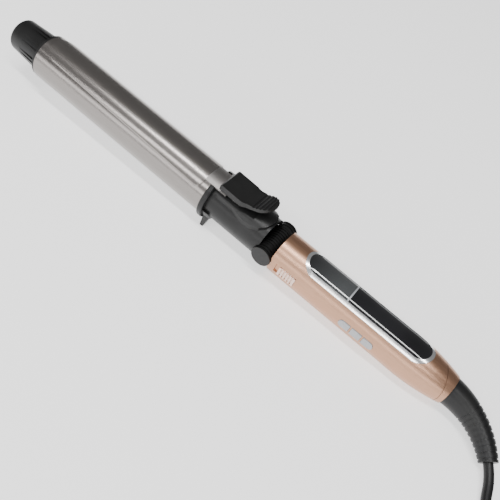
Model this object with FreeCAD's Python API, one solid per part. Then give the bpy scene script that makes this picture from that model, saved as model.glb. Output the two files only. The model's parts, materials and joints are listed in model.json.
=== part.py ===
import FreeCAD, Part
import math
import os

# A folding curling iron lying on its stand legs and on the underside of its handle.
# It is drawn about its own axis: X runs from the cool tip (-) to the cord (+), Z points
# to the thumb lever, and x = 0 is the face of the flange that the barrel leaves.
# The whole iron is then tilted onto its feet and moved so that the origin is at the
# centre of its base.

os.makedirs("parts", exist_ok=True)

V = FreeCAD.Vector
ALONG = V(1, 0, 0)
ACROSS = V(0, 1, 0)
UP = V(0, 0, 1)

# Fits
TOUCH = 0.02             # gap between pieces that are screwed or glued together
RUNNING_FIT = 0.05       # radial gap round a pin or a turning neck
SLIDE_GAP = 0.15         # gap round a button or a slider
MOVING_GAP = 0.3         # gap between surfaces that pass each other

# Barrel
BARREL_R = 16.0
BARREL_WALL = 1.2
BARREL_LENGTH = 151.4
HEATER_GAP = 0.2
HEATER_START = -BARREL_LENGTH + 11.4
HEATER_END = -18.0
HEATER_WALL = 1.5
PTC_THICK = 2.4
ELECTRODE_THICK = 0.4
PTC_LENGTH = 30.0
PTC_WIDTH = 17.0
PTC_COUNT = 3

# Tip
TIP_RING_LENGTH = 1.8
TIP_ROOT_R = BARREL_R - 2.5
TIP_END_R = BARREL_R - 4.5
TIP_LENGTH = 27.2
TIP_WALL = 2.0
TIP_FLUTES = 8

# Clip
CLIP_GAP = 0.2
CLIP_THICK = 0.8
CLIP_FRONT = -BARREL_LENGTH + 4.4
CLIP_REAR = -5.0
CLIP_REAR_HALF = 13.8
CLIP_FRONT_HALF = 11.2
NECK_HALF = 8.5
NECK_END = 12.0
PIVOT_X = 18.0
PIVOT_Z = BARREL_R + 1.0
PIVOT_PIN_R = 1.5

# Flange, collar and stand
FLANGE_R = BARREL_R + 1.8
FLANGE_THICK = 3.6
COLLAR_R = BARREL_R - 2.0
COLLAR_WALL = 2.0
COLLAR_END = 47.0
CRADLE_R = COLLAR_R + 2.2
LEG_HEIGHT = BARREL_R + 5.0        # below the barrel's axis
LEG_SPREAD = 10.5
LEG_TIP = 2.4

# Fold hinge
HINGE_X = 52.0
HINGE_Z = -0.6
HINGE_R = 7.0
HINGE_HALF = 15.9
DRUM_HALF = 9.3
HINGE_PIN_R = 2.0
RIB_PITCH = 2.2
PIN_HALF = HINGE_HALF - 1.0

# Handle
HANDLE_Z = -1.8
HANDLE_START = 58.3
HANDLE_END = 190.0
HANDLE_R = 14.6
HANDLE_WAIST_X = 150.0
HANDLE_WAIST_R = 14.35
HANDLE_BEND_R = 13.0       # 14 mm before the end
HANDLE_END_R = 10.3
HANDLE_WALL = 2.0
SEAM_X = 181.5
SEAM_LEAN = 25.0         # degrees, seen from above
SEAM_GAP = 0.25

# Controls
PANEL_START = 74.5
PANEL_END = 170.4
PANEL_HALF = 10.1
BEZEL_WIDTH = 2.2
BEZEL_PROUD = 0.35
DIVIDER_X = 110.5
DIVIDER_WIDTH = 1.0
BUTTON_SPANS = (("button_front", 114.0, 121.8), ("button_middle", 123.1, 130.5), ("button_rear", 131.8, 139.6))
BUTTON_HALF = 2.7
BUTTON_PROUD = 0.6
BUTTON_Z = -1.0
SLIDER_START = 66.0
SLIDER_END = 78.4
SLIDER_HALF = 3.3
SLIDER_TRAVEL = 2.8
SLIDER_PROUD = 0.8
SLIDER_POCKET = 1.0
SLIDER_STEM = (70.0, 74.0)
SLIDER_RIBS = 6

# Cord
CORD_R = 3.0
BOOT_ROOT_R = 9.6
BOOT_END_R = 5.8
BOOT_BEND_R = 52.0
BOOT_TURN = 52.0         # degrees
BOOT_GROOVES = 9
GROOVE_WIDTH = 1.1
GROOVE_DEPTH = 0.5
COIL_CENTRE = (290.0, -24.0)
COIL_MIDDLE_R = 34.0
COIL_WIDE = 3            # turns side by side
COIL_HIGH = 3            # turns on top of each other


def rod(radius, x0, x1, y=0.0, z=0.0):
    return Part.makeCylinder(radius, x1 - x0, V(x0, y, z), ALONG)


def tube(outer, inner, x0, x1, z=0.0):
    return rod(outer, x0, x1, 0.0, z).cut(rod(inner, x0 - 1.0, x1 + 1.0, 0.0, z))


def cross_rod(radius, y0, y1, x, z):
    return Part.makeCylinder(radius, y1 - y0, V(x, y0, z), ACROSS)


def block(x0, x1, y0, y1, z0, z1):
    return Part.makeBox(x1 - x0, y1 - y0, z1 - z0, V(x0, y0, z0))


def turned(profile, z=0.0):
    """Solid turned about the X axis from a closed outline of (x, radius) points."""
    points = [V(x, 0.0, z + r) for x, r in profile]
    face = Part.Face(Part.makePolygon(points + [points[0]]))
    return face.revolve(V(0, 0, z), ALONG, 360)


def plan_prism(points, z0, z1):
    """Upright prism over an outline of (x, y) points."""
    corners = [V(x, y, z0) for x, y in points]
    return Part.Face(Part.makePolygon(corners + [corners[0]])).extrude(V(0, 0, z1 - z0))


def side_prism(points, half):
    """Prism across the iron, over a side outline of (x, z) points."""
    corners = [V(x, -half, z) for x, z in points]
    return Part.Face(Part.makePolygon(corners + [corners[0]])).extrude(V(0, 2 * half, 0))


def stadium(x0, x1, half, z0, z1):
    """Upright prism with half-round ends."""
    middle = block(x0 + half, x1 - half, -half, half, z0, z1)
    front = Part.makeCylinder(half, z1 - z0, V(x0 + half, 0, z0), UP)
    rear = Part.makeCylinder(half, z1 - z0, V(x1 - half, 0, z0), UP)
    return middle.fuse([front, rear]).removeSplitter()


def side_pill(x0, x1, half, z, round_front, round_rear):
    """Block on the near side (-Y) whose chosen ends are half round."""
    shape = block(x0 + (half if round_front else 0.0), x1 - (half if round_rear else 0.0),
                  -30.0, -1.0, z - half, z + half)
    if round_front:
        shape = shape.fuse(cross_rod(half, -30.0, -1.0, x0 + half, z))
    if round_rear:
        shape = shape.fuse(cross_rod(half, -30.0, -1.0, x1 - half, z))
    return shape.removeSplitter()


# ---------------------------------------------------------------- barrel and heater

def barrel_tube():
    return tube(BARREL_R, BARREL_R - BARREL_WALL, -BARREL_LENGTH, FLANGE_THICK - 1.0)


def heater_half(side):
    outer = BARREL_R - BARREL_WALL - HEATER_GAP
    flat = PTC_THICK / 2 + ELECTRODE_THICK
    half = rod(outer, HEATER_START, HEATER_END)
    low, high = (flat, 20.0) if side > 0 else (-20.0, -flat)
    half = half.common(block(HEATER_START - 1, HEATER_END + 1, -20, 20, low, high))
    core = rod(outer - HEATER_WALL, HEATER_START - 1, HEATER_END + 1)
    low, high = (flat + HEATER_WALL, 20.0) if side > 0 else (-20.0, -flat - HEATER_WALL)
    core = core.common(block(HEATER_START - 2, HEATER_END + 2, -20, 20, low, high))
    return half.cut(core)


def ptc_plates():
    pitch = (HEATER_END - HEATER_START) / PTC_COUNT
    plates = []
    for i in range(PTC_COUNT):
        start = HEATER_START + pitch * (i + 0.5) - PTC_LENGTH / 2
        plates.append(block(start, start + PTC_LENGTH, -PTC_WIDTH / 2, PTC_WIDTH / 2,
                            -PTC_THICK / 2, PTC_THICK / 2))
    return Part.makeCompound(plates)


def electrode(side):
    low, high = sorted((side * PTC_THICK / 2, side * (PTC_THICK / 2 + ELECTRODE_THICK)))
    return block(HEATER_START, HEATER_END + 14.0, -PTC_WIDTH / 2, PTC_WIDTH / 2, low, high)


def temperature_sensor():
    flat = PTC_THICK / 2 + ELECTRODE_THICK + HEATER_WALL
    return rod(1.5, -70.0, -62.0, 0.0, flat + 1.5)


def thermal_fuse():
    flat = PTC_THICK / 2 + ELECTRODE_THICK + HEATER_WALL
    return rod(2.0, -46.0, -34.0, 0.0, -flat - 2.0)


def heat_sleeve():
    """Insulating sleeve between the hot barrel and the collar."""
    inner_r = BARREL_R - BARREL_WALL - TOUCH
    return tube(inner_r, inner_r - 1.4, -12.0, FLANGE_THICK - 1.0)


# ---------------------------------------------------------------- tip

TIP_RING_END = -BARREL_LENGTH - TIP_RING_LENGTH


def tip_ring():
    ring = tube(BARREL_R - 0.3, 6.0, TIP_RING_END, -BARREL_LENGTH)
    spigot = tube(BARREL_R - BARREL_WALL - TOUCH, 12.0, -BARREL_LENGTH - 0.5, -BARREL_LENGTH + 6.0)
    return ring.fuse(spigot).removeSplitter()


def cool_tip():
    end = TIP_RING_END - TIP_LENGTH
    nose = 2.5
    shell = turned([(TIP_RING_END, 0), (TIP_RING_END, TIP_ROOT_R), (end, TIP_END_R), (end, 0)])
    rim = [e for e in shell.Edges if abs(e.BoundBox.XMax - end) < 0.01 and len(e.Vertexes) == 1]
    shell = shell.makeFillet(nose, rim)
    hollow = turned([(TIP_RING_END + 1, 0), (TIP_RING_END + 1, TIP_ROOT_R - TIP_WALL),
                     (end + TIP_WALL, TIP_END_R - TIP_WALL - 0.6), (end + TIP_WALL, 0)])
    shell = shell.cut(hollow)
    grooves = []
    for i in range(TIP_FLUTES):
        for offset in (-7.0, 7.0):
            groove = block(TIP_RING_END - 16.0, TIP_RING_END + 1, -0.8, 0.8, TIP_ROOT_R - 1.3, TIP_ROOT_R + 2)
            groove.rotate(V(0, 0, 0), ALONG, i * 360.0 / TIP_FLUTES + offset)
            grooves.append(groove)
    return shell.cut(grooves)


def tip_screw():
    shank = rod(1.5, TIP_RING_END - 6.0, -BARREL_LENGTH + 8.0)
    head = rod(7.2, TIP_RING_END - 3.5, TIP_RING_END - TOUCH)
    return shank.fuse(head).removeSplitter()


# ---------------------------------------------------------------- clip and lever

CLIP_INNER_R = BARREL_R + CLIP_GAP
CLIP_OUTER_R = CLIP_INNER_R + CLIP_THICK


def clip_plate():
    outline = plan_prism([(CLIP_REAR, -CLIP_REAR_HALF), (CLIP_REAR, CLIP_REAR_HALF),
                          (CLIP_FRONT, CLIP_FRONT_HALF), (CLIP_FRONT, -CLIP_FRONT_HALF)], 0.0, 25.0)
    upright = [e for e in outline.Edges if e.BoundBox.ZLength > 20]
    rear = [e for e in upright if e.BoundBox.XMax > CLIP_REAR - 1]
    outline = outline.makeFillet(4.0, rear)
    front = [e for e in outline.Edges if e.BoundBox.ZLength > 20 and e.BoundBox.XMax < CLIP_FRONT + 1]
    outline = outline.makeFillet(CLIP_FRONT_HALF * 0.85, front)
    return tube(CLIP_OUTER_R, CLIP_INNER_R, CLIP_FRONT - 1, CLIP_REAR + 1).common(outline)


def clip_neck():
    shell = tube(CLIP_OUTER_R, CLIP_INNER_R, CLIP_REAR, NECK_END)
    return shell.common(block(CLIP_REAR, NECK_END, -NECK_HALF, NECK_HALF, 0, 25))


LEVER_START = 6.5
LEVER_BLOCK_END = 25.0
LEVER_HALF = 9.3
PAD_HALF = 8.2
PAD_END = 42.8
LEVER_BOTTOM = CLIP_INNER_R + 0.5
LEVER_ROOF = PIVOT_Z + 3.1
LEVER_TOP = LEVER_ROOF + 1.0
PAD_TOP = LEVER_ROOF + 7.1
PAD_THICK = 2.9
PIN_WALL = 0.8           # lever wall left over each end of the pin
PAD_RISE = ((28.0, LEVER_TOP + 0.4), (32.0, PAD_TOP - 4.6), (36.0, PAD_TOP - 2.1), (39.5, PAD_TOP - 0.5),
            (PAD_END - 1.2, PAD_TOP))
PAD_GRIPS = (31.2, 33.5, 35.8, 38.1, 40.4)
GRIP_R = 0.65


def pad_height(x):
    """Height of the lever's upper face behind its pivot."""
    for (x0, z0), (x1, z1) in zip(PAD_RISE, PAD_RISE[1:]):
        if x0 <= x <= x1:
            return z0 + (z1 - z0) * (x - x0) / (x1 - x0)
    return PAD_TOP


def thumb_lever():
    profile = [(LEVER_START, LEVER_BOTTOM), (LEVER_START, LEVER_TOP - 1.0), (LEVER_START + 1.0, LEVER_TOP),
               (20.0, LEVER_TOP - 0.4), (24.5, LEVER_TOP - 0.5), *PAD_RISE, (PAD_END - 0.2, PAD_TOP - 0.5),
               (PAD_END, PAD_TOP - 1.6), (40.5, PAD_TOP - PAD_THICK), (36.0, PAD_TOP - PAD_THICK - 2.4),
               (30.0, PAD_TOP - PAD_THICK - 5.3), (26.0, LEVER_BOTTOM + 0.6), (24.0, LEVER_BOTTOM)]
    body = side_prism(profile, LEVER_HALF)
    pad_start = PAD_END - PAD_HALF
    plan = plan_prism([(LEVER_START, -LEVER_HALF), (23.0, -LEVER_HALF), (27.0, -PAD_HALF),
                       (pad_start, -PAD_HALF), (pad_start, PAD_HALF), (27.0, PAD_HALF), (23.0, LEVER_HALF),
                       (LEVER_START, LEVER_HALF)], 10.0, 40.0)
    tail = Part.makeCylinder(PAD_HALF, 30.0, V(pad_start, 0, 10.0), UP)
    body = body.common(plan.fuse(tail).removeSplitter())
    body = body.cut(block(LEVER_START + 2.0, LEVER_BLOCK_END - 2.0, -LEVER_HALF + 2.3, LEVER_HALF - 2.3,
                          LEVER_BOTTOM - 1, LEVER_ROOF))
    pin_room = LEVER_HALF - PIN_WALL
    body = body.cut(cross_rod(PIVOT_PIN_R + RUNNING_FIT, -pin_room, pin_room, PIVOT_X, PIVOT_Z))
    grooves = []
    for x in PAD_GRIPS:
        grooves.append(cross_rod(GRIP_R, -20, 20, x, pad_height(x) + 0.1))
    body = body.cut(grooves)
    slot = tube(CLIP_OUTER_R + TOUCH, CLIP_INNER_R - TOUCH, LEVER_START - 1, NECK_END + TOUCH)
    return body.cut(slot.common(block(0, NECK_END + TOUCH, -NECK_HALF - TOUCH, NECK_HALF + TOUCH, 0, 25)))


def lever_rivets():
    rivets = []
    for y in (-3.4, 3.4):
        post = Part.makeCylinder(1.2, LEVER_ROOF - CLIP_OUTER_R + 0.6, V(10.6, y, CLIP_OUTER_R - 0.6), UP)
        rivets.append(post.cut(rod(CLIP_OUTER_R, 0, 20)))
    return Part.makeCompound(rivets)


def lever_pin():
    half = LEVER_HALF - PIN_WALL - SLIDE_GAP
    return cross_rod(PIVOT_PIN_R, -half, half, PIVOT_X, PIVOT_Z)


EAR_INNER = 4.6
EAR_OUTER = 6.1
EAR_R = 2.9


def lever_bracket():
    foot = COLLAR_R - 3.0
    base = block(PIVOT_X - 5, PIVOT_X + 4, -EAR_OUTER, EAR_OUTER, foot, COLLAR_R + 0.35)
    for side in (-1, 1):
        low, high = sorted((side * EAR_INNER, side * EAR_OUTER))
        base = base.fuse(cross_rod(EAR_R, low, high, PIVOT_X, PIVOT_Z))
        base = base.fuse(block(PIVOT_X - EAR_R, PIVOT_X + EAR_R, low, high, foot, PIVOT_Z))
    base = base.cut(rod(COLLAR_R + TOUCH, 0, COLLAR_END))
    base = base.cut(cross_rod(PIVOT_PIN_R + TOUCH, -20, 20, PIVOT_X, PIVOT_Z))
    return base.removeSplitter()


def lever_spring():
    turns = []
    wire = 0.5
    pitch = 2 * wire + 0.02
    count = int(2 * (EAR_INNER - 0.3) / pitch)
    for i in range(count):
        y = -count * pitch / 2 + pitch * (i + 0.5)
        turns.append(Part.makeTorus(PIVOT_PIN_R + wire + 0.1, wire, V(PIVOT_X, y, PIVOT_Z), ACROSS))
    return Part.makeCompound(turns)


# ---------------------------------------------------------------- flange, collar, cradle, stand

def flange_ring():
    ring = turned([(0, BARREL_R - 2.0), (0, FLANGE_R - 0.6), (0.6, FLANGE_R), (FLANGE_THICK - 0.6, FLANGE_R),
                   (FLANGE_THICK, FLANGE_R - 0.6), (FLANGE_THICK, BARREL_R - 4.0), (1.0, BARREL_R - 4.0)])
    ring = ring.cut(rod(BARREL_R + TOUCH, -1, FLANGE_THICK - 1.0 + TOUCH))
    notch = block(-1, FLANGE_THICK + 1, -NECK_HALF - 0.6, NECK_HALF + 0.6, 10, 25).cut(
        rod(BARREL_R - TOUCH, -2, FLANGE_THICK + 2))
    return ring.cut(notch)


def collar_shell(side):
    shell = tube(COLLAR_R, COLLAR_R - COLLAR_WALL, FLANGE_THICK + TOUCH, COLLAR_END)
    low, high = (0.0, 20.0) if side > 0 else (-20.0, -TOUCH)
    half = shell.common(block(0, COLLAR_END + 1, -20, 20, low, high))
    for y in (-8.0, 8.0):
        boss = Part.makeCylinder(2.4, 8.4, V(24.0, y, 0 if side > 0 else -8.4 - TOUCH), UP)
        half = half.fuse(boss.common(rod(COLLAR_R - 0.5, 0, COLLAR_END)))
        half = half.cut(Part.makeCylinder(1.2 + TOUCH, 14.0, V(24.0, y, -8.0), UP))
    half = half.cut(cross_rod(HINGE_R + MOVING_GAP, -20, 20, HINGE_X, HINGE_Z))
    return half.removeSplitter()


def collar_screws():
    screws = []
    for y in (-8.0, 8.0):
        screws.append(Part.makeCylinder(1.2, 13.0, V(24.0, y, -7.6), UP))
    return Part.makeCompound(screws)


CRADLE_START = FLANGE_THICK + 2.0
CRADLE_END = 46.4
CRADLE_SLOT_END = 35.0


def lever_cradle():
    """Raised saddle on the collar that the thumb lever dips into."""
    shell = tube(CRADLE_R, COLLAR_R + TOUCH, CRADLE_START, COLLAR_END)
    half = [(CRADLE_START, 10.3), (20.0, 10.4), (25.0, 11.2), (30.0, 11.8), (36.0, 11.5), (41.0, 9.9),
            (44.5, 6.8), (CRADLE_END - 0.3, 2.6)]
    outline = [(x, -y) for x, y in half] + [(x, y) for x, y in reversed(half)]
    cradle = shell.common(plan_prism(outline, 3.0, 25.0))
    return cradle.cut(block(0, CRADLE_SLOT_END, -LEVER_HALF - MOVING_GAP, LEVER_HALF + MOVING_GAP, 5, 25))


def rest_stand():
    """Half ring under the collar with two splayed legs."""
    x0 = FLANGE_THICK + TOUCH
    x1 = x0 + 4.6
    band = tube(COLLAR_R + 1.6, COLLAR_R + TOUCH, x0, x1).common(block(0, 20, -20, 20, -30, -3.0))
    for side in (-1, 1):
        root = [V(x0, side * 6.6, -11.0), V(x0, side * 11.4, -8.4),
                V(x0, side * (LEG_SPREAD + 1.2), -LEG_HEIGHT - 3),
                V(x0, side * (LEG_SPREAD - 1.2), -LEG_HEIGHT - 3)]
        leg = Part.Face(Part.makePolygon(root + [root[0]])).extrude(V(x1 - x0, 0, 0))
        taper = [(x0, 0), (x1, 0), (x1, -10), (x0 + LEG_TIP, -LEG_HEIGHT), (x0 + LEG_TIP, -30), (x0, -30)]
        leg = leg.common(side_prism(taper, 30))
        band = band.fuse(leg.cut(rod(COLLAR_R + TOUCH, 0, 30)))
    return band.removeSplitter()


# ---------------------------------------------------------------- fold hinge

def ribbed_drum(y0, y1):
    drum = cross_rod(HINGE_R, y0, y1, HINGE_X, HINGE_Z)
    cuts = []
    count = int((2 * HINGE_HALF - 3.2) / RIB_PITCH)
    for i in range(count + 1):
        y = (i - count / 2.0) * RIB_PITCH
        if y - 0.45 > y0 + 0.2 and y + 0.45 < y1 - 0.2:
            ring = cross_rod(HINGE_R + 1, y - 0.45, y + 0.45, HINGE_X, HINGE_Z)
            cuts.append(ring.cut(cross_rod(HINGE_R - 0.7, y - 1, y + 1, HINGE_X, HINGE_Z)))
    return drum.cut(cuts)


def hinge_fork():
    pieces = []
    for side in (-1, 1):
        low, high = sorted((side * (DRUM_HALF + MOVING_GAP), side * HINGE_HALF))
        disc = ribbed_drum(low, high)
        low, high = sorted((side * (DRUM_HALF + MOVING_GAP), side * (DRUM_HALF + 1.7)))
        tang = block(28.0, HINGE_X, low, high, HINGE_Z - 3.4, HINGE_Z + 3.4)
        pieces.append(disc.fuse(tang))
    bridge = block(28.0, 31.0, -DRUM_HALF - 1.7, DRUM_HALF + 1.7, HINGE_Z - 3.4, HINGE_Z + 3.4)
    fork = pieces[0].fuse([pieces[1], bridge])
    fork = fork.cut(cross_rod(HINGE_PIN_R + TOUCH, -PIN_HALF - TOUCH, PIN_HALF + TOUCH, HINGE_X, HINGE_Z))
    return fork.removeSplitter()


def hinge_knuckle():
    drum = ribbed_drum(-DRUM_HALF, DRUM_HALF)
    plug_r = HANDLE_R - HANDLE_WALL - TOUCH
    plug = rod(plug_r, HANDLE_START + 1.4, HANDLE_START + 3.6, 0, HANDLE_Z)
    plug = plug.cut(cross_rod(HINGE_R + MOVING_GAP, -20, -DRUM_HALF, HINGE_X, HINGE_Z))
    plug = plug.cut(cross_rod(HINGE_R + MOVING_GAP, DRUM_HALF, 20, HINGE_X, HINGE_Z))
    tang = block(HINGE_X, HANDLE_START + 6.0, -7.5, 7.5, HINGE_Z - 4.0, HINGE_Z + 4.0)
    knuckle = drum.fuse([plug, tang])
    knuckle = knuckle.cut(cross_rod(HINGE_PIN_R + RUNNING_FIT, -20, 20, HINGE_X, HINGE_Z))
    return knuckle.removeSplitter()


def hinge_pin():
    return cross_rod(HINGE_PIN_R, -PIN_HALF, PIN_HALF, HINGE_X, HINGE_Z)


def hinge_washers():
    washers = []
    for side in (-1, 1):
        low, high = sorted((side * (DRUM_HALF + 0.05), side * (DRUM_HALF + MOVING_GAP - 0.02)))
        ring = cross_rod(5.0, low, high, HINGE_X, HINGE_Z)
        washers.append(ring.cut(cross_rod(HINGE_PIN_R + TOUCH, -20, 20, HINGE_X, HINGE_Z)))
    return Part.makeCompound(washers)


# ---------------------------------------------------------------- handle

TAIL_CURVE = ((HANDLE_WAIST_X, HANDLE_WAIST_R), (HANDLE_END - 14.0, HANDLE_BEND_R), (HANDLE_END, HANDLE_END_R))


def tail_radius(x):
    """Handle radius behind the waist, where the outline is an arc through three points."""
    arc = Part.Arc(*[V(px, 0, r) for px, r in TAIL_CURVE]).toShape().Curve
    return arc.Center.z + math.sqrt(arc.Radius ** 2 - (x - arc.Center.x) ** 2)


def handle_solid(offset, start=HANDLE_START, end=HANDLE_END):
    """Handle outline turned about the handle's axis, with every radius changed by offset."""
    z = HANDLE_Z
    a = V(start, 0, z + HANDLE_R + offset)
    b, c, d = [V(x, 0, z + r + offset) for x, r in TAIL_CURVE]
    edges = [Part.LineSegment(V(start, 0, z), a).toShape(), Part.LineSegment(a, b).toShape(),
             Part.Arc(b, c, d).toShape(), Part.LineSegment(d, V(HANDLE_END, 0, z)).toShape(),
             Part.LineSegment(V(HANDLE_END, 0, z), V(start, 0, z)).toShape()]
    solid = Part.Face(Part.Wire(edges)).revolve(V(0, 0, z), ALONG, 360)
    if end < HANDLE_END:
        solid = solid.common(block(start - 1, end, -40, 40, -40, 40))
    return solid


def behind_seam(gap):
    """Everything on the cord side of the slanted seam."""
    half = block(0, 100, -60, 60, -60, 60)
    half.translate(V(SEAM_X + gap, 0, HANDLE_Z))
    half.rotate(V(SEAM_X + gap, 0, HANDLE_Z), UP, SEAM_LEAN)
    return half


PANEL_LOW = HANDLE_Z
PANEL_HIGH = HANDLE_Z + HANDLE_R + 5


def panel_field(half, inset):
    return stadium(PANEL_START + inset, PANEL_END - inset, half, PANEL_LOW, PANEL_HIGH)


def handle_wall(proud, depth):
    return handle_solid(proud).cut(handle_solid(-depth, HANDLE_START - 1))


def handle_sleeve():
    sleeve = handle_wall(0.0, HANDLE_WALL).cut(behind_seam(0.0))
    sleeve = sleeve.cut(panel_field(PANEL_HALF + TOUCH, -TOUCH))
    for name, x0, x1 in BUTTON_SPANS:
        hole = side_pill(x0 - SLIDE_GAP, x1 + SLIDE_GAP, BUTTON_HALF + SLIDE_GAP, BUTTON_Z,
                         name == "button_front", name == "button_rear")
        sleeve = sleeve.cut(hole)
    pocket = side_pill(SLIDER_START - SLIDER_TRAVEL - SLIDE_GAP, SLIDER_END + SLIDE_GAP,
                       SLIDER_HALF + SLIDE_GAP, BUTTON_Z, False, False)
    sleeve = sleeve.cut(pocket.common(handle_wall(1.0, SLIDER_POCKET)))
    stem_start, stem_end = SLIDER_STEM
    sleeve = sleeve.cut(block(stem_start - SLIDER_TRAVEL - SLIDE_GAP, stem_end + SLIDE_GAP, -20, -5,
                              BUTTON_Z - 1.2 - SLIDE_GAP, BUTTON_Z + 1.2 + SLIDE_GAP))
    for y0, y1 in ((-HINGE_HALF - 2, -DRUM_HALF), (DRUM_HALF, HINGE_HALF + 2)):
        sleeve = sleeve.cut(cross_rod(HINGE_R + MOVING_GAP, y0, y1, HINGE_X, HINGE_Z))
    return sleeve


def tail_cap():
    cap = handle_wall(0.0, HANDLE_WALL).common(behind_seam(SEAM_GAP))
    mouth = tube(HANDLE_END_R - 0.5, BOOT_ROOT_R - 3.4 + RUNNING_FIT, HANDLE_END - 3.0, HANDLE_END, HANDLE_Z)
    mouth = mouth.common(behind_seam(SEAM_GAP))
    return cap.fuse(mouth).removeSplitter()


def panel_bezel():
    ring = panel_field(PANEL_HALF, 0).cut(panel_field(PANEL_HALF - BEZEL_WIDTH, BEZEL_WIDTH))
    return handle_wall(BEZEL_PROUD, HANDLE_WALL).common(ring)


def panel_piece(x0, x1, proud, depth):
    field = panel_field(PANEL_HALF - BEZEL_WIDTH - TOUCH, BEZEL_WIDTH + TOUCH)
    return handle_wall(proud, depth).common(field.common(block(x0, x1, -20, 20, -20, 30)))


def display_lens():
    return panel_piece(PANEL_START, DIVIDER_X - DIVIDER_WIDTH / 2 - TOUCH, 0.1, 1.4)


def panel_divider():
    return panel_piece(DIVIDER_X - DIVIDER_WIDTH / 2, DIVIDER_X + DIVIDER_WIDTH / 2, 0.2, 1.4)


def panel_insert():
    return panel_piece(DIVIDER_X + DIVIDER_WIDTH / 2 + TOUCH, PANEL_END, 0.0, 1.4)


def control_button(name, x0, x1):
    pill = side_pill(x0, x1, BUTTON_HALF, BUTTON_Z, name == "button_front", name == "button_rear")
    cap = handle_solid(BUTTON_PROUD).common(pill).cut(block(x0 - 1, x1 + 1, -9.9, 20, -20, 20))
    middle = (x0 + x1) / 2
    stem = cross_rod(1.2, -10.5, -8.9, middle, BUTTON_Z)
    return cap.fuse(stem).removeSplitter()


def lock_slider():
    pill = side_pill(SLIDER_START, SLIDER_END, SLIDER_HALF, BUTTON_Z, False, False)
    cap = handle_wall(SLIDER_PROUD, SLIDER_POCKET - SLIDE_GAP).common(pill)
    pitch = (SLIDER_END - SLIDER_START) / SLIDER_RIBS
    cuts = []
    for i in range(1, SLIDER_RIBS):
        x = SLIDER_START + pitch * i
        cuts.append(block(x - 0.45, x + 0.45, -20, -HANDLE_R + 0.7, BUTTON_Z - 4, BUTTON_Z + 4))
    stem_start, stem_end = SLIDER_STEM
    stem = block(stem_start, stem_end, -14.0, -11.0, BUTTON_Z - 1.2, BUTTON_Z + 1.2)
    plate = block(SLIDER_START, SLIDER_END, -11.4, -10.4, BUTTON_Z - 3.0, BUTTON_Z + 3.0)
    return cap.cut(cuts).fuse([stem, plate]).removeSplitter()


def lock_bolt():
    """Steel bolt that holds the hinge straight until the slider draws it back."""
    return block(HANDLE_START + 6.4, SLIDER_END, -9.0, -5.4, BUTTON_Z - 2, BUTTON_Z + 2)


def slider_spring():
    turns = []
    wire = 0.35
    for i in range(8):
        turns.append(Part.makeTorus(1.4, wire, V(80.0 + 0.9 * i, -7.2, BUTTON_Z), ALONG))
    return Part.makeCompound(turns)


CHASSIS_TOP = -7.0


def inner_chassis():
    plate = block(HANDLE_START + 6.2, 172.0, -8.2, 8.2, CHASSIS_TOP - 1.6, CHASSIS_TOP)
    for x in (100.0, 146.0, 168.0):
        post = Part.makeCylinder(1.8, 9.0, V(x, 5.4, CHASSIS_TOP - 0.5), UP)
        plate = plate.fuse(post)
    return plate.removeSplitter()


def circuit_board():
    return block(84.0, 164.0, -4.6, 8.0, CHASSIS_TOP + 8.6, CHASSIS_TOP + 10.2)


def display_module():
    top = CHASSIS_TOP + 10.3
    return block(82.0, 108.0, -4.4, 5.6, top, top + 4.0)


def button_board():
    return block(112.0, 142.0, -7.4, -6.2, BUTTON_Z - 4.5, BUTTON_Z + 4.5)


def tact_switches():
    switches = []
    for name, x0, x1 in BUTTON_SPANS:
        middle = (x0 + x1) / 2
        switches.append(block(middle - 2.2, middle + 2.2, -8.1, -7.42, BUTTON_Z - 2.2, BUTTON_Z + 2.2))
    return Part.makeCompound(switches)


def power_module():
    low = CHASSIS_TOP + TOUCH
    relay = block(116.0, 132.0, -5.8, 3.0, low, low + 7.0)
    capacitor = rod(4.0, 148.0, 164.0, -1.0, low + 4.0)
    return Part.makeCompound([relay, capacitor])


def supply_wires():
    wires = []
    for y in (-2.4, 2.4):
        wires.append(rod(1.1, 164.2, 182.0, y, HANDLE_Z))
    return Part.makeCompound(wires)


# ---------------------------------------------------------------- cord and its strain relief

BOOT_SIDE = V(0, -0.9682, -0.25)


def boot_point(angle):
    turn = math.radians(angle)
    centre = V(HANDLE_END, 0, HANDLE_Z)
    return centre + ALONG * (BOOT_BEND_R * math.sin(turn)) + BOOT_SIDE * (BOOT_BEND_R * (1 - math.cos(turn)))


def boot_direction(angle):
    turn = math.radians(angle)
    return ALONG * math.cos(turn) + BOOT_SIDE * math.sin(turn)


def boot_radius(share):
    return BOOT_ROOT_R + (BOOT_END_R - BOOT_ROOT_R) * share


def strain_relief():
    stations = 9
    circles = []
    for i in range(stations):
        share = i / (stations - 1.0)
        angle = BOOT_TURN * share
        circles.append(Part.Wire(Part.makeCircle(boot_radius(share), boot_point(angle), boot_direction(angle))))
    boot = Part.makeLoft(circles, True)
    for i in range(BOOT_GROOVES):
        share = 0.36 + 0.6 * i / (BOOT_GROOVES - 1.0)
        angle = BOOT_TURN * share
        start = boot_point(angle) - boot_direction(angle) * (GROOVE_WIDTH / 2)
        outer = Part.makeCylinder(boot_radius(share) + 2, GROOVE_WIDTH, start, boot_direction(angle))
        inner = Part.makeCylinder(boot_radius(share) - GROOVE_DEPTH, GROOVE_WIDTH, start, boot_direction(angle))
        boot = boot.cut(outer.cut(inner))
    neck = rod(BOOT_ROOT_R - 3.4, HANDLE_END - 4.4, HANDLE_END + 0.5, 0, HANDLE_Z)
    stop = rod(BOOT_ROOT_R - 2.2, HANDLE_END - 4.8, HANDLE_END - 3.2, 0, HANDLE_Z)
    return boot.fuse([neck, stop]).removeSplitter()


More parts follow.
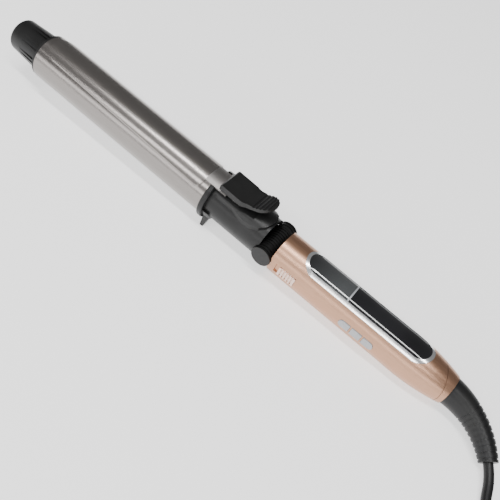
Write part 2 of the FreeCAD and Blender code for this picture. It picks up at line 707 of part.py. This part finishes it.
def tube_along(points, radius):
    """Tube of straight runs joined by arcs that are as large as the runs allow."""
    edges = []
    start = points[0]
    for i in range(1, len(points) - 1):
        before = points[i] - points[i - 1]
        after = points[i + 1] - points[i]
        turn = before.getAngle(after)
        bend = 0.45 * min(before.Length, after.Length) / math.tan(turn / 2)
        reach = bend * math.tan(turn / 2)
        print("cord arc %d: radius %.1f, turn %.1f deg" % (i, bend, math.degrees(turn)))
        first = points[i] - before.normalize() * reach
        last = points[i] + after.normalize() * reach
        inward = (first - points[i]) + (last - points[i])
        middle_gap = bend / math.cos(turn / 2) - bend
        middle = points[i] + inward.normalize() * middle_gap
        edges.append(Part.LineSegment(start, first).toShape())
        edges.append(Part.Arc(first, middle, last).toShape())
        start = last
    edges.append(Part.LineSegment(start, points[-1]).toShape())
    path = Part.Wire(edges)
    direction = points[1] - points[0]
    ring = Part.Wire(Part.makeCircle(radius, points[0], direction))
    solid = path.makePipeShell([ring], True, False)
    print("cord tube length %.1f, volume %.1f, section times length %.1f"
          % (path.Length, solid.Volume, math.pi * radius ** 2 * path.Length))
    return solid


# ---------------------------------------------------------------- assembly

nodes = {
    "barrel_tube": barrel_tube(),
    "heater_half_upper": heater_half(1),
    "heater_half_lower": heater_half(-1),
    "ptc_plates": ptc_plates(),
    "electrode_upper": electrode(1),
    "electrode_lower": electrode(-1),
    "temperature_sensor": temperature_sensor(),
    "thermal_fuse": thermal_fuse(),
    "heat_sleeve": heat_sleeve(),
    "tip_ring": tip_ring(),
    "cool_tip": cool_tip(),
    "tip_screw": tip_screw(),
    "clip_plate": clip_plate(),
    "clip_neck": clip_neck(),
    "thumb_lever": thumb_lever(),
    "lever_rivets": lever_rivets(),
    "lever_pin": lever_pin(),
    "lever_bracket": lever_bracket(),
    "lever_spring": lever_spring(),
    "flange_ring": flange_ring(),
    "collar_upper": collar_shell(1),
    "collar_lower": collar_shell(-1),
    "collar_screws": collar_screws(),
    "lever_cradle": lever_cradle(),
    "rest_stand": rest_stand(),
    "hinge_fork": hinge_fork(),
    "hinge_knuckle": hinge_knuckle(),
    "hinge_pin": hinge_pin(),
    "hinge_washers": hinge_washers(),
    "handle_sleeve": handle_sleeve(),
    "tail_cap": tail_cap(),
    "panel_bezel": panel_bezel(),
    "display_lens": display_lens(),
    "panel_divider": panel_divider(),
    "panel_insert": panel_insert(),
    "lock_slider": lock_slider(),
    "lock_bolt": lock_bolt(),
    "slider_spring": slider_spring(),
    "inner_chassis": inner_chassis(),
    "circuit_board": circuit_board(),
    "display_module": display_module(),
    "button_board": button_board(),
    "tact_switches": tact_switches(),
    "power_module": power_module(),
    "supply_wires": supply_wires(),
    "strain_relief": strain_relief(),
}
for button_name, button_start, button_end in BUTTON_SPANS:
    nodes[button_name] = control_button(button_name, button_start, button_end)

# The iron rests on its two legs and on the underside of the handle, where a line from the
# legs first touches the handle's tapering rear half.
leg_x = FLANGE_THICK + TOUCH
REST_TILT = 90.0
for step in range(int(HANDLE_END - HANDLE_WAIST_X)):
    touch_x = HANDLE_WAIST_X + step
    rise = HANDLE_Z - tail_radius(touch_x) + LEG_HEIGHT
    REST_TILT = min(REST_TILT, math.degrees(math.atan2(rise, touch_x - leg_x)))
FLOOR = leg_x * math.sin(math.radians(REST_TILT)) + LEG_HEIGHT * math.cos(math.radians(REST_TILT))

for shape in nodes.values():
    shape.rotate(V(0, 0, 0), ACROSS, REST_TILT)
    shape.translate(V(0, 0, FLOOR))
nodes["rest_stand"] = nodes["rest_stand"].cut(block(-50, 50, -50, 50, -40, 0))

whole = [shape.BoundBox for name, shape in nodes.items() if name != "strain_relief"]
CENTRE_X = (min(box.XMin for box in whole) + max(box.XMax for box in whole)) / 2
for shape in nodes.values():
    shape.translate(V(-CENTRE_X, 0, 0))


def placed(point):
    """Where a point of the iron's own drawing lies once the iron is at rest."""
    turn = FreeCAD.Rotation(ACROSS, REST_TILT)
    return turn.multVec(point) + V(-CENTRE_X, 0, FLOOR)


# The cord leaves the strain relief, comes down to the floor and runs into its coil.
cord_exit = placed(boot_point(BOOT_TURN))
exit_direction = FreeCAD.Rotation(ACROSS, REST_TILT).multVec(boot_direction(BOOT_TURN))
CORD_ROUTE = [
    cord_exit,
    cord_exit + exit_direction * 9.0,
    V(235.0, -40.5, CORD_R + 0.05),
    V(243.0, -53.0, CORD_R + 0.05),
    V(255.0, -61.5, CORD_R + 0.05),
    V(269.5, -64.5, CORD_R + 0.05),
    V(284.4, -63.6, CORD_R + 0.05),
]
nodes["power_cord"] = tube_along(CORD_ROUTE, CORD_R)

coil_half_width = CORD_R * COIL_WIDE
coil_height = 2 * CORD_R * COIL_HIGH
coil_base = V(COIL_CENTRE[0], COIL_CENTRE[1], 0)
coil_solid = Part.makeCylinder(COIL_MIDDLE_R + coil_half_width, coil_height, coil_base, UP)
coil_hole = Part.makeCylinder(COIL_MIDDLE_R - coil_half_width, coil_height + 2, coil_base - V(0, 0, 1), UP)
nodes["cord_coil"] = coil_solid.cut(coil_hole)

# The plug lies flat on the coil, along a chord of it.
PLUG_LENGTH = 30.0
PLUG_WIDTH = 24.0
PLUG_HEIGHT = 13.0
PLUG_OFFSET = 31.0
PLUG_START = 4.0
PLUG_TAIL = 12.0
BLADE_GAP = 12.7
BLADE_LENGTH = 16.0
BLADE_WIDTH = 6.4
BLADE_THICK = 1.5
plug_base = coil_height + 0.02
plug_middle = plug_base + PLUG_HEIGHT / 2
plug_x = COIL_CENTRE[0] + PLUG_START
plug_y = COIL_CENTRE[1] - PLUG_OFFSET
plug = block(plug_x, plug_x + PLUG_LENGTH, plug_y - PLUG_WIDTH / 2, plug_y + PLUG_WIDTH / 2,
             plug_base, plug_base + PLUG_HEIGHT)
plug = plug.makeFillet(2.5, [e for e in plug.Edges if e.BoundBox.XLength > PLUG_LENGTH - 1])
plug_tail = Part.makeCone(4.2, 5.6, PLUG_TAIL, V(plug_x - PLUG_TAIL, plug_y, plug_middle), ALONG)
nodes["plug_body"] = plug.fuse(plug_tail).removeSplitter()
blades = []
for side in (-1, 1):
    blade_y = plug_y + side * BLADE_GAP / 2
    blade = block(plug_x + PLUG_LENGTH + 0.01, plug_x + PLUG_LENGTH + BLADE_LENGTH,
                  blade_y - BLADE_THICK / 2, blade_y + BLADE_THICK / 2,
                  plug_middle - BLADE_WIDTH / 2, plug_middle + BLADE_WIDTH / 2)
    blades.append(blade)
nodes["plug_blades"] = Part.makeCompound(blades)

for name, shape in nodes.items():
    if not shape.isValid():
        print("not valid:", name)
    shape.exportStep("parts/%s.step" % name)

print("nodes", len(nodes), "tilt", REST_TILT, "centre", CENTRE_X, "floor", FLOOR)
for number, point in enumerate(CORD_ROUTE):
    print("cord point %d: %.2f %.2f %.2f" % (number, point.x, point.y, point.z))
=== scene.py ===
import bpy
import json
import math
from mathutils import Matrix, Vector


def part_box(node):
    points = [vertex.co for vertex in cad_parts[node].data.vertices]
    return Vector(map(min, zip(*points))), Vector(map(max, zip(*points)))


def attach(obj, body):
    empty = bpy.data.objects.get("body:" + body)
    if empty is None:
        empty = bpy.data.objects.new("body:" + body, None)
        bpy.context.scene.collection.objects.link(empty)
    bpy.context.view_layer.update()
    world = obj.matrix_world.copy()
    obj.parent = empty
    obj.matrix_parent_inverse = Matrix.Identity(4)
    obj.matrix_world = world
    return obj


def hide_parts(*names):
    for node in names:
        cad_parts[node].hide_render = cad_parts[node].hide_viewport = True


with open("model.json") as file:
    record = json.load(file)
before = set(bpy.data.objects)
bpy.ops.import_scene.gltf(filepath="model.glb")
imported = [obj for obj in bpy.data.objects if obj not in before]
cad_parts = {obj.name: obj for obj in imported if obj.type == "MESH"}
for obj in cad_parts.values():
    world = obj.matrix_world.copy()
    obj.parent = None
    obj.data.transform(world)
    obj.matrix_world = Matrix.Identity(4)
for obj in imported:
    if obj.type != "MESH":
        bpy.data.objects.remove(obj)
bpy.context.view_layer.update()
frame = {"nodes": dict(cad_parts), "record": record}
nodes = frame["nodes"]
joints = {j["name"]: j for j in frame["record"]["behaviour"]["joints"]}

# ---------------------------------------------------------------- places worked out from the frame

handle_axis = Vector(joints["cord_turn"]["axis"])         # along the iron, towards the cord
TILT = math.atan2(-handle_axis.z, handle_axis.x)           # how far the tip is lifted


# ---------------------------------------------------------------- materials

# How a noise is stretched: a small number draws it out along that axis
EVEN = (1.0, 1.0, 1.0)
LENGTHWISE = (1.0, 14.0, 14.0)
FINE_AND_EVEN = (30.0, 30.0, 30.0)

# Noise features per metre
STREAK_SCALE = 120.0
METAL_GRAIN_SCALE = 2600.0
PLASTIC_CLOUD_SCALE = 60.0
LENS_CLOUD_SCALE = 25.0
CHROME_CLOUD_SCALE = 90.0

METAL_GRAIN_DEPTH = 0.00001
METAL_GRAIN_STRENGTH = 0.25
PLASTIC_GRAIN_STRENGTH = 0.5


def new_material(name, colour, roughness, metallic=0.0):
    material = bpy.data.materials.new(name)
    material.use_nodes = True
    shader = material.node_tree.nodes["Principled BSDF"]
    shader.inputs["Base Color"].default_value = (*colour, 1.0)
    shader.inputs["Roughness"].default_value = roughness
    shader.inputs["Metallic"].default_value = metallic
    return material, material.node_tree, shader


def object_noise(tree, stretch, scale, detail=3.0):
    """Noise on Object coordinates, stretched along the iron's own axes."""
    place = tree.nodes.new("ShaderNodeTexCoord")
    mapping = tree.nodes.new("ShaderNodeMapping")
    mapping.inputs["Rotation"].default_value = (0.0, TILT, 0.0)
    mapping.inputs["Scale"].default_value = stretch
    noise = tree.nodes.new("ShaderNodeTexNoise")
    noise.inputs["Scale"].default_value = scale
    noise.inputs["Detail"].default_value = detail
    tree.links.new(place.outputs["Object"], mapping.inputs["Vector"])
    tree.links.new(mapping.outputs["Vector"], noise.inputs["Vector"])
    return noise


def vary_colour(tree, shader, noise, dark, light, low=0.35, high=0.65):
    ramp = tree.nodes.new("ShaderNodeValToRGB")
    ramp.color_ramp.elements[0].position = low
    ramp.color_ramp.elements[0].color = (*dark, 1.0)
    ramp.color_ramp.elements[1].position = high
    ramp.color_ramp.elements[1].color = (*light, 1.0)
    tree.links.new(noise.outputs["Fac"], ramp.inputs["Fac"])
    tree.links.new(ramp.outputs["Color"], shader.inputs["Base Color"])


def vary_roughness(tree, shader, noise, low, high):
    spread = tree.nodes.new("ShaderNodeMapRange")
    spread.inputs["To Min"].default_value = low
    spread.inputs["To Max"].default_value = high
    tree.links.new(noise.outputs["Fac"], spread.inputs["Value"])
    tree.links.new(spread.outputs["Result"], shader.inputs["Roughness"])


def add_bump(tree, shader, noise, depth, strength):
    bump = tree.nodes.new("ShaderNodeBump")
    bump.inputs["Strength"].default_value = strength
    bump.inputs["Distance"].default_value = depth
    tree.links.new(noise.outputs["Fac"], bump.inputs["Height"])
    tree.links.new(bump.outputs["Normal"], shader.inputs["Normal"])


def coated_metal(name, dark, light, roughness, streak=LENGTHWISE):
    """Metallic coating with faint lengthwise brushing and a fine grain."""
    material, tree, shader = new_material(name, light, roughness, 1.0)
    streaks = object_noise(tree, streak, STREAK_SCALE, 4.0)
    vary_colour(tree, shader, streaks, dark, light)
    vary_roughness(tree, shader, streaks, roughness - 0.03, roughness + 0.04)
    grain = object_noise(tree, EVEN, METAL_GRAIN_SCALE, 2.0)
    add_bump(tree, shader, grain, METAL_GRAIN_DEPTH, METAL_GRAIN_STRENGTH)
    return material


def moulded_plastic(name, dark, light, roughness, grain_scale, grain_depth, specular=0.5):
    """Moulded plastic with a spark-eroded grain."""
    material, tree, shader = new_material(name, light, roughness)
    shader.inputs["Specular IOR Level"].default_value = specular
    cloud = object_noise(tree, EVEN, PLASTIC_CLOUD_SCALE)
    vary_colour(tree, shader, cloud, dark, light)
    vary_roughness(tree, shader, cloud, roughness - 0.05, roughness + 0.07)
    grain = object_noise(tree, EVEN, grain_scale, 2.0)
    add_bump(tree, shader, grain, grain_depth, PLASTIC_GRAIN_STRENGTH)
    return material


def gloss_black():
    dark = (0.006, 0.006, 0.007)
    light = (0.012, 0.012, 0.014)
    material, tree, shader = new_material("gloss_black_lens", dark, 0.08)
    shader.inputs["Coat Weight"].default_value = 0.2
    shader.inputs["Coat Roughness"].default_value = 0.03
    cloud = object_noise(tree, EVEN, LENS_CLOUD_SCALE)
    vary_colour(tree, shader, cloud, dark, light)
    vary_roughness(tree, shader, cloud, 0.05, 0.1)
    return material


def smoked_window_painted_reflection():
    """Display window: smoked tint with a painted reflection that brightens it from the hinge end towards
    the divider.
    """
    material, tree, shader = new_material("smoked_window_painted_reflection", (0.05, 0.055, 0.055), 0.07)
    shader.inputs["Coat Weight"].default_value = 1.0
    shader.inputs["Coat Roughness"].default_value = 0.03
    place = tree.nodes.new("ShaderNodeTexCoord")
    split = tree.nodes.new("ShaderNodeSeparateXYZ")
    low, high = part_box("display_lens")
    along = tree.nodes.new("ShaderNodeMapRange")
    along.inputs["From Min"].default_value = low[0]
    along.inputs["From Max"].default_value = high[0]
    # painted reflection: the window's base colour goes from near black at the hinge end to a lighter grey
    # towards the divider
    ramp = tree.nodes.new("ShaderNodeValToRGB")
    ramp.color_ramp.elements[0].color = (0.008, 0.008, 0.009, 1.0)
    ramp.color_ramp.elements[1].color = (0.06, 0.064, 0.066, 1.0)
    ramp.color_ramp.elements[1].position = 0.8
    tree.links.new(place.outputs["Object"], split.inputs["Vector"])
    tree.links.new(split.outputs["X"], along.inputs["Value"])
    tree.links.new(along.outputs["Result"], ramp.inputs["Fac"])
    tree.links.new(ramp.outputs["Color"], shader.inputs["Base Color"])
    return material


def chrome():
    material, tree, shader = new_material("bright_chrome", (0.9, 0.9, 0.91), 0.2, 1.0)
    cloud = object_noise(tree, EVEN, CHROME_CLOUD_SCALE)
    vary_roughness(tree, shader, cloud, 0.15, 0.25)
    vary_colour(tree, shader, cloud, (0.86, 0.86, 0.87), (0.95, 0.95, 0.95))
    return material


BLACK = moulded_plastic("black_nylon", (0.007, 0.007, 0.007), (0.011, 0.011, 0.011),
                        0.36, 1500.0, 0.00003, 0.35)
RUBBER = moulded_plastic("cord_rubber", (0.007, 0.007, 0.008), (0.012, 0.012, 0.012),
                         0.4, 1100.0, 0.00004, 0.35)
BARREL = coated_metal("taupe_barrel_coating", (0.275, 0.254, 0.241), (0.297, 0.275, 0.261), 0.24)
CLIP = coated_metal("taupe_clip_coating", (0.292, 0.27, 0.256), (0.315, 0.292, 0.277), 0.24)
NECK = coated_metal("blasted_neck_metal", (0.22, 0.21, 0.205), (0.33, 0.31, 0.30), 0.42, FINE_AND_EVEN)
ROSE_GOLD = coated_metal("rose_gold_lacquer", (0.50, 0.288, 0.188), (0.54, 0.315, 0.208), 0.33)
SLIDER_GOLD = coated_metal("pale_slider_lacquer", (0.80, 0.60, 0.51), (0.86, 0.66, 0.57), 0.4)
SILVER = moulded_plastic("silver_grey_keys", (0.36, 0.37, 0.39), (0.43, 0.44, 0.46), 0.35, 1400.0, 0.00002)
STEEL = coated_metal("machined_steel", (0.48, 0.48, 0.48), (0.6, 0.6, 0.6), 0.3)
ALUMINIUM = coated_metal("extruded_aluminium", (0.6, 0.6, 0.6), (0.7, 0.7, 0.7), 0.4)
COPPER = coated_metal("copper_strip", (0.6, 0.33, 0.2), (0.72, 0.42, 0.28), 0.35)
CERAMIC = moulded_plastic("white_ceramic", (0.62, 0.6, 0.55), (0.75, 0.73, 0.68), 0.6, 900.0, 0.00005)
BOARD = moulded_plastic("board_laminate", (0.02, 0.11, 0.04), (0.03, 0.16, 0.06), 0.4, 1400.0, 0.00002)
LENS = smoked_window_painted_reflection()
PANEL = gloss_black()
CHROME = chrome()

FINISH = {
    "barrel_metal": BARREL,
    "clip_metal": CLIP,
    "heater_aluminium": ALUMINIUM,
    "copper": COPPER,
    "ceramic": CERAMIC,
    "black_plastic": BLACK,
    "steel": STEEL,
    "rose_gold": ROSE_GOLD,
    "chrome": CHROME,
    "gloss_black": PANEL,
    "silver_grey": SILVER,
    "board_green": BOARD,
    "cord_black": RUBBER,
}
OWN_FINISH = {"clip_neck": NECK, "display_lens": LENS, "lock_slider": SLIDER_GOLD}


def dress_cad_nodes():
    for part in frame["record"]["subparts"]:
        piece = nodes[part["node"]]
        material = OWN_FINISH.get(part["node"], FINISH[part["material_slot"]])
        if not piece.material_slots:
            piece.data.materials.append(material)
        for material_slot in piece.material_slots:
            material_slot.material = material


dress_cad_nodes()

# ---------------------------------------------------------------- power cord

CORD_RADIUS = 0.003
CORD_REST = CORD_RADIUS + 0.00005
CORD_ROUTE = [
    (0.22588, -0.01935, 0.0072),
    (0.23137, -0.02622, 0.00525),
    (0.235, -0.0405, CORD_REST),
    (0.243, -0.053, CORD_REST),
    (0.255, -0.0615, CORD_REST),
    (0.2695, -0.0645, CORD_REST),
]
COIL_CENTRE = (0.29, -0.024)
COIL_MIDDLE = 0.034
TURN_STEP = 2 * CORD_RADIUS
POINTS_PER_TURN = 18
ENTRY_ANGLE = math.radians(262.0)
LAST_ANGLE = math.radians(240.0 + 360.0 * 8)
EASE_START = 0.67         # share of a turn after which it moves over to the next
TOP_OFFSETS = (0.5, -0.6)  # turns of the top layer, in cord widths from the middle
LIFT_TURN = math.radians(100)
LIFT_SHORTFALL = 0.001    # the lift ends this far below the plug's axis
PLUG_OFFSET = 0.031
PLUG_TAIL_X = -0.008
PLUG_AXIS_Z = 0.02452
BEFORE_PLUG = 0.004
INSIDE_PLUG = 0.002


def coil_rings():
    """Radius and height of each turn, from the floor layer up."""
    rings = []
    offsets = [1, 0, -1]
    for layer in range(2):
        for offset in offsets:
            rings.append((COIL_MIDDLE + offset * TURN_STEP, CORD_REST + layer * TURN_STEP))
        offsets.reverse()
    for offset in TOP_OFFSETS:
        rings.append((COIL_MIDDLE + offset * TURN_STEP, CORD_REST + 2 * TURN_STEP))
    return rings


def smooth_step(share):
    return share * share * (3 - 2 * share)


def coil_points():
    """Turns of the coil, each easing into the next over its last third, then the lift to the plug."""
    rings = coil_rings()
    whole_turn = LAST_ANGLE - ENTRY_ANGLE
    count = int(whole_turn / (2 * math.pi) * POINTS_PER_TURN)
    points = []
    for i in range(count + 1):
        turned = whole_turn * i / count
        turn = int(turned / (2 * math.pi) + 1e-6)
        share = turned / (2 * math.pi) - turn
        radius, height = rings[turn]
        if turn + 1 < len(rings) and share > EASE_START:
            ease = smooth_step((share - EASE_START) / (1 - EASE_START))
            radius += (rings[turn + 1][0] - radius) * ease
            height += (rings[turn + 1][1] - height) * ease
        if turned > whole_turn - LIFT_TURN:
            rise = 1 - (whole_turn - turned) / LIFT_TURN
            height += (PLUG_AXIS_Z - LIFT_SHORTFALL - height) * smooth_step(rise)
        angle = ENTRY_ANGLE + turned
        x = COIL_CENTRE[0] + radius * math.cos(angle)
        y = COIL_CENTRE[1] + radius * math.sin(angle)
        points.append((x, y, height))
    return points


def make_power_cord():
    plug_x = COIL_CENTRE[0] + PLUG_TAIL_X
    plug_y = COIL_CENTRE[1] - PLUG_OFFSET
    tail = [(plug_x - BEFORE_PLUG, plug_y, PLUG_AXIS_Z), (plug_x + INSIDE_PLUG, plug_y, PLUG_AXIS_Z)]
    route = CORD_ROUTE + coil_points() + tail
    data = bpy.data.curves.new("power_cord_flex", "CURVE")
    data.dimensions = "3D"
    line = data.splines.new("NURBS")
    line.points.add(len(route) - 1)
    for point, place in zip(line.points, route):
        point.co = (*place, 1.0)
    line.order_u = 3
    line.use_endpoint_u = True
    line.resolution_u = 6
    data.bevel_depth = CORD_RADIUS
    data.bevel_resolution = 5
    data.use_fill_caps = True
    cord = bpy.data.objects.new("power_cord_flex", data)
    bpy.context.scene.collection.objects.link(cord)
    data.materials.append(RUBBER)
    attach(cord, "cord_swivel")
    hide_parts("power_cord", "cord_coil")


make_power_cord()

# ---------------------------------------------------------------- floor, lights, camera

FLOOR_SIZE = 8.0
FLOOR_GLOW = 0.95
WORLD_LIGHT = 0.25
WHITE = (1.0, 1.0, 1.0, 1.0)
# name, place, aim, size, power in watts
SOFTBOXES = (
    ("near_softbox", (0.0, -0.8, 0.22), (0.0, 0.0, 0.02), (1.6, 0.22), 4.0),
    ("bezel_softbox", (0.0, -0.9, 1.0), (0.0, 0.0, 0.02), (1.6, 0.16), 8.0),
    ("overhead_softbox", (0.0, -0.25, 1.5), (0.0, 0.0, 0.0), (1.4, 0.12), 16.0),
)


def make_floor():
    bpy.ops.object.select_all(action="DESELECT")
    bpy.ops.mesh.primitive_plane_add(size=FLOOR_SIZE)
    floor = bpy.context.active_object
    floor.name = "floor"
    material, tree, shader = new_material("pale_floor", (0.9, 0.9, 0.9), 0.9)
    shader.inputs["Specular IOR Level"].default_value = 0.1
    shader.inputs["Emission Color"].default_value = WHITE
    shader.inputs["Emission Strength"].default_value = FLOOR_GLOW
    floor.data.materials.append(material)


def add_softbox(name, place, aim, size, power):
    data = bpy.data.lights.new(name, "AREA")
    data.shape = "RECTANGLE"
    data.size, data.size_y = size
    data.energy = power
    lamp = bpy.data.objects.new(name, data)
    bpy.context.scene.collection.objects.link(lamp)
    lamp.location = place
    lamp.rotation_euler = (Vector(aim) - Vector(place)).to_track_quat("-Z", "Y").to_euler()


def make_lights():
    world = bpy.data.worlds.new("studio")
    world.use_nodes = True
    background = world.node_tree.nodes["Background"]
    background.inputs["Color"].default_value = WHITE
    background.inputs["Strength"].default_value = WORLD_LIGHT
    bpy.context.scene.world = world
    for softbox in SOFTBOXES:
        add_softbox(*softbox)


CAMERA_PLACE = Vector((0.115292, -0.2514, 0.317045))
CAMERA_RIGHT = Vector((0.763137, 0.5877, 0.268834))
CAMERA_UP = Vector((-0.615903, 0.5355, 0.577834))
LENS_LENGTH = 44.64
SENSOR_WIDTH = 36.0
NEAREST_SEEN = 0.01


def make_camera():
    data = bpy.data.cameras.new("camera")
    data.lens = LENS_LENGTH
    data.sensor_width = SENSOR_WIDTH
    data.clip_start = NEAREST_SEEN
    camera = bpy.data.objects.new("camera", data)
    bpy.context.scene.collection.objects.link(camera)
    right = CAMERA_RIGHT.normalized()
    back = right.cross(CAMERA_UP).normalized()
    up = back.cross(right)
    turn = Matrix((right, up, back)).transposed().to_4x4()
    camera.matrix_world = Matrix.Translation(CAMERA_PLACE) @ turn
    bpy.context.scene.camera = camera


make_floor()
make_lights()
make_camera()
